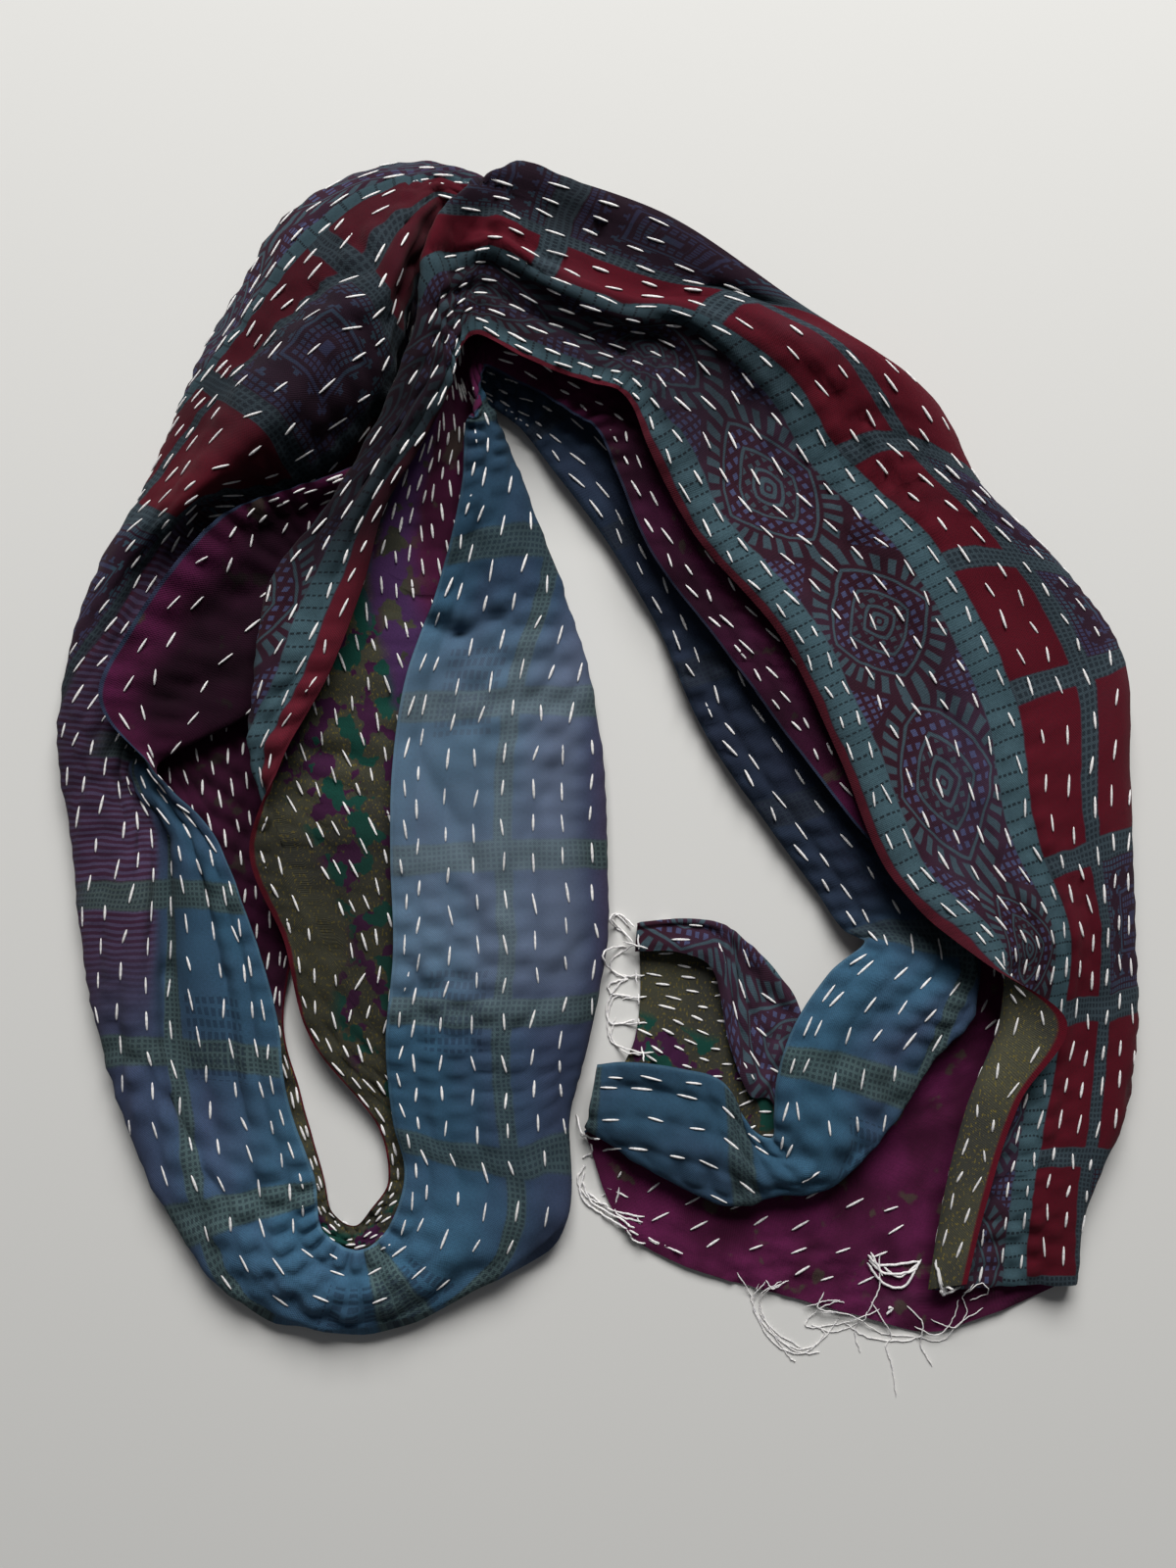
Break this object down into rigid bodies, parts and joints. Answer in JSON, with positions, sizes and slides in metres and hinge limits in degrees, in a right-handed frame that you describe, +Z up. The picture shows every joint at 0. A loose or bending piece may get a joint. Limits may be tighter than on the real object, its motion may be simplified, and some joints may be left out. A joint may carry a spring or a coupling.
{
  "type": "kantha scarf",
  "caption": "Long quilted kantha scarf of two printed cloth layers, lying in a loose looped heap with thread fringes at its ends.",
  "frame": {"origin": "under the middle of the scarf's footprint, on the surface it lies on", "axes": "+Z up from the surface; +Y towards the gathered turn; +X towards the wide band"},
  "size_m": [0.413, 0.477, 0.0431],
  "materials": {
    "front_cloth": "matt printed cotton",
    "back_cloth": "matt printed cotton",
    "fringe_thread": "matt cotton thread"
  },
  "bodies": {
    "root": {"front_cloth": "front_cloth", "back_cloth": "back_cloth", "fringe_one": "fringe_thread", "fringe_two": "fringe_thread"}
  },
  "joints": []
}
